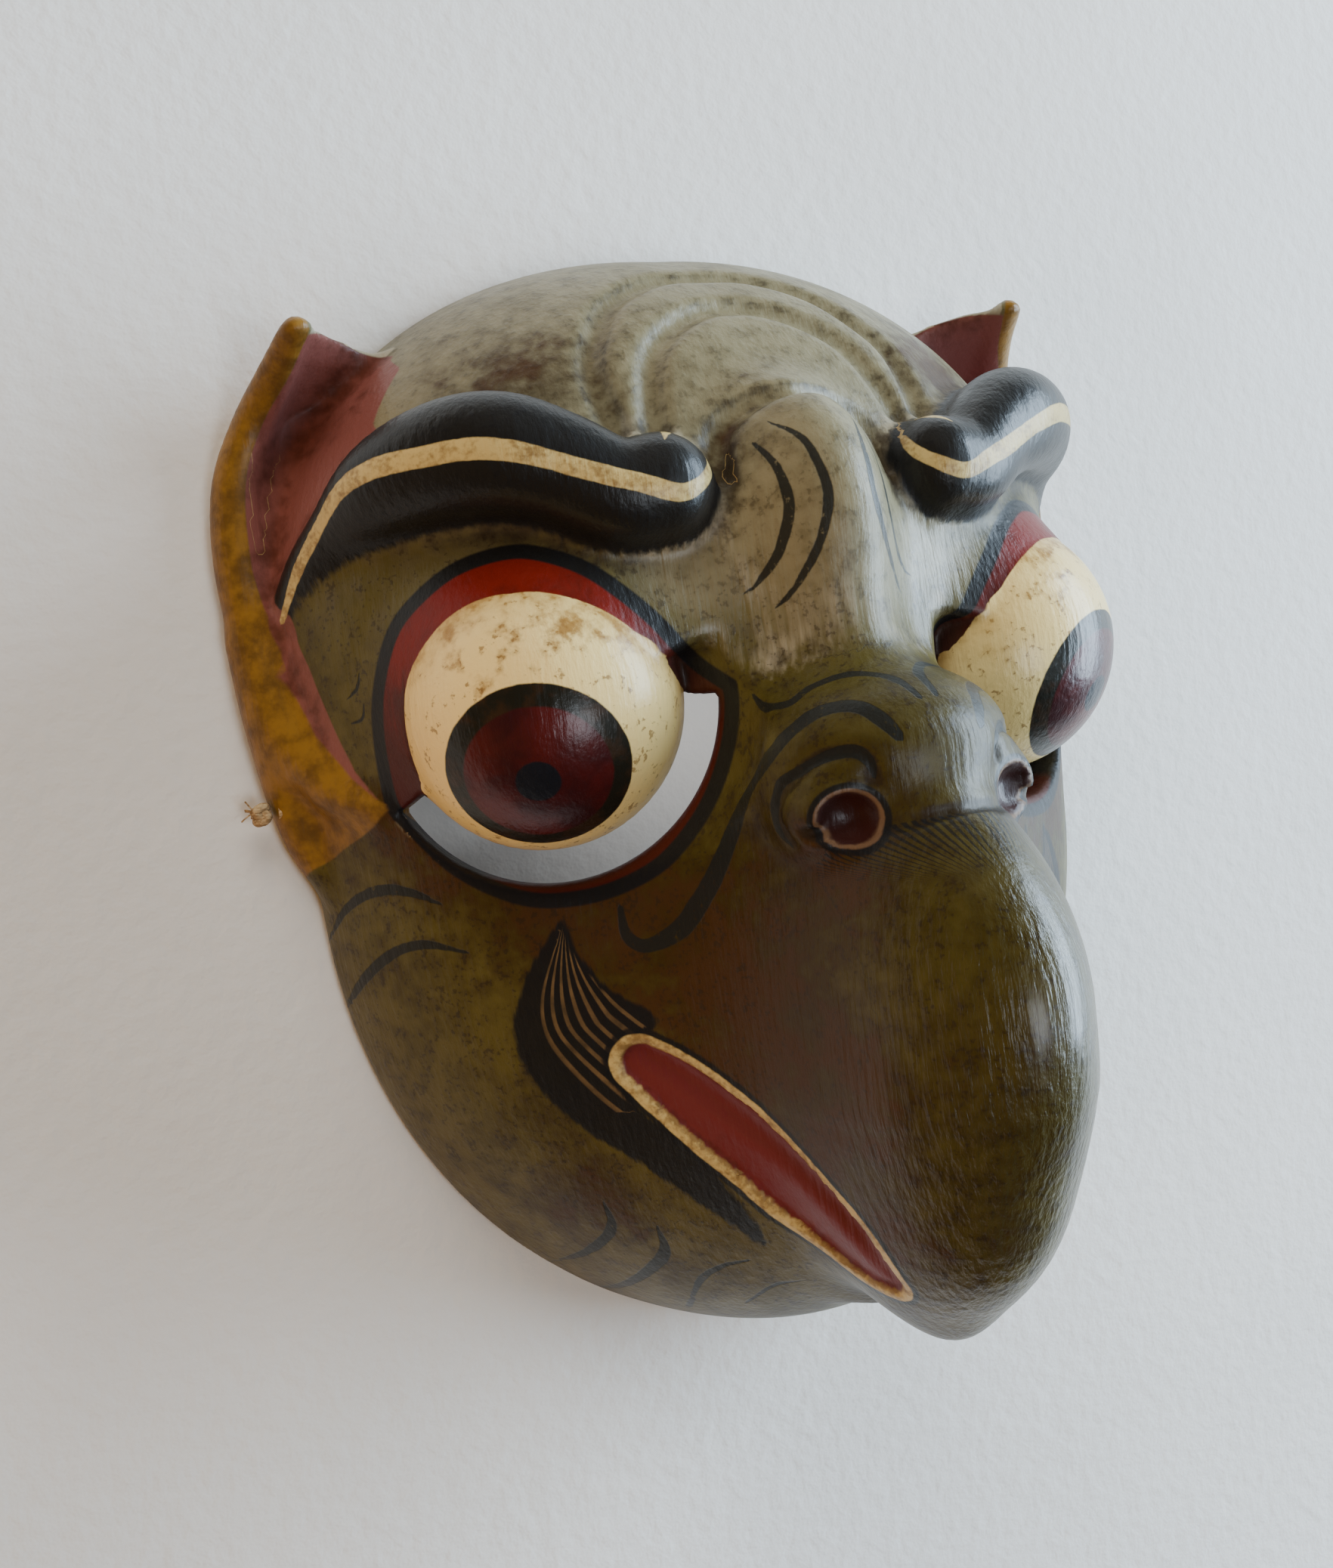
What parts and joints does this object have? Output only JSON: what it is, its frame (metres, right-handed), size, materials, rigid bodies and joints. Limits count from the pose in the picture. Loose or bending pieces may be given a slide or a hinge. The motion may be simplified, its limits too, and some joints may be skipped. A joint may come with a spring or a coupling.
{
  "type": "carved wooden bird mask",
  "caption": "Carved and painted wooden face mask of a hook-beaked bird, hollow behind, with eye slits and a knotted twine tie.",
  "frame": {"origin": "centre of the mask's outline on the plane of its flat back rim, on which it lies face up", "axes": "+Z out of the face, +Y towards the crown, +X towards the side of the viewer's right when the face is looked at"},
  "size_m": [0.1816, 0.207, 0.1014],
  "materials": {
    "painted_wood": "light hardwood, painted olive brown with black, dark red and gold, then waxed and rubbed back",
    "twine": "natural plant-fibre twine, twisted, dull"
  },
  "bodies": {
    "root": {"mask": "painted_wood", "twine": "twine", "knot_left": "twine", "knot_right": "twine"}
  },
  "joints": []
}
